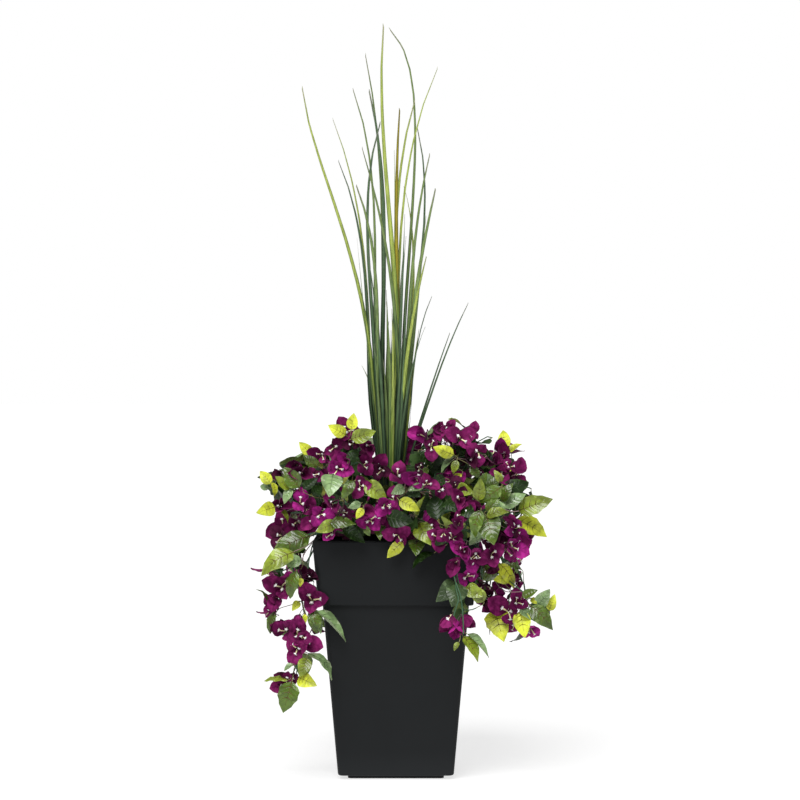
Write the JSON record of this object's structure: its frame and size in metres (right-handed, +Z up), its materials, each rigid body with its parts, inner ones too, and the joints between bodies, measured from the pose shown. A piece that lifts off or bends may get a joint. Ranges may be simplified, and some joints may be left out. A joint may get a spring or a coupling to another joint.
{
  "type": "artificial bougainvillea planter",
  "caption": "Bushy magenta bougainvillea with trailing stems and a tall spray of grass blades, artificial, standing in a tapered square tub with a deep rim band",
  "frame": {"origin": "centre of the flat underside of the tub", "axes": "+Z is up, -Y is the front with the fullest trailing flowers, +X is to the right seen from the front"},
  "size_m": [0.6489, 0.5329, 1.6206],
  "materials": {
    "tub": "smooth matte charcoal moulding",
    "fill": "dark mossy planting fill",
    "stem": "moulded green stems",
    "grass": "soft moulded blades, dark at the foot and lime along the middle",
    "grass_bundle": "dense foot of the grass clump",
    "foliage": "printed cloth bracts and leaves"
  },
  "bodies": {
    "root": {"back_centre_foliage": "foliage", "back_left_bough": "stem", "back_left_foliage": "foliage", "back_left_trail_bough_drop": "stem", "back_left_trail_bough_over_rim": "stem", "back_left_trail_foliage": "foliage", "back_right_bough": "stem", "back_right_foliage": "foliage", "back_right_trail_bough_drop": "stem", "back_right_trail_bough_over_rim": "stem", "back_right_trail_foliage": "foliage", "back_top_foliage": "foliage", "front_centre_foliage": "foliage", "front_left_foliage": "foliage", "front_right_foliage": "foliage", "grass_blade_01": "grass", "grass_blade_02": "grass", "grass_blade_03": "grass", "grass_blade_04": "grass", "grass_blade_05": "grass", "grass_blade_06": "grass", "grass_blade_07": "grass", "grass_blade_08": "grass", "grass_blade_09": "grass", "grass_blade_10": "grass", "grass_blade_11": "grass", "grass_blade_12": "grass", "grass_blade_13": "grass", "grass_blade_14": "grass", "grass_blade_15": "grass", "grass_blade_16": "grass", "grass_blade_17": "grass", "grass_blade_18": "grass", "grass_blade_19": "grass", "grass_blade_20": "grass", "grass_blade_21": "grass", "grass_tuft": "grass_bundle", "left_bough": "stem", "left_shoulder_foliage": "foliage", "left_top_bough": "stem", "left_top_foliage": "foliage", "left_trail_bough_drop": "stem", "left_trail_bough_over_rim": "stem", "left_trail_lower_foliage": "foliage", "left_trail_upper_foliage": "foliage", "planting_fill": "fill", "right_bough": "stem", "right_inner_trail_bough_drop": "stem", "right_inner_trail_bough_over_rim": "stem", "right_outer_trail_bough_drop": "stem", "right_outer_trail_bough_over_rim": "stem", "right_shoulder_foliage": "foliage", "right_top_bough": "stem", "right_top_foliage": "foliage", "right_trail_inner_foliage": "foliage", "right_trail_outer_foliage": "foliage", "stem_back": "stem", "stem_front": "stem", "tub": "tub"}
  },
  "joints": []
}
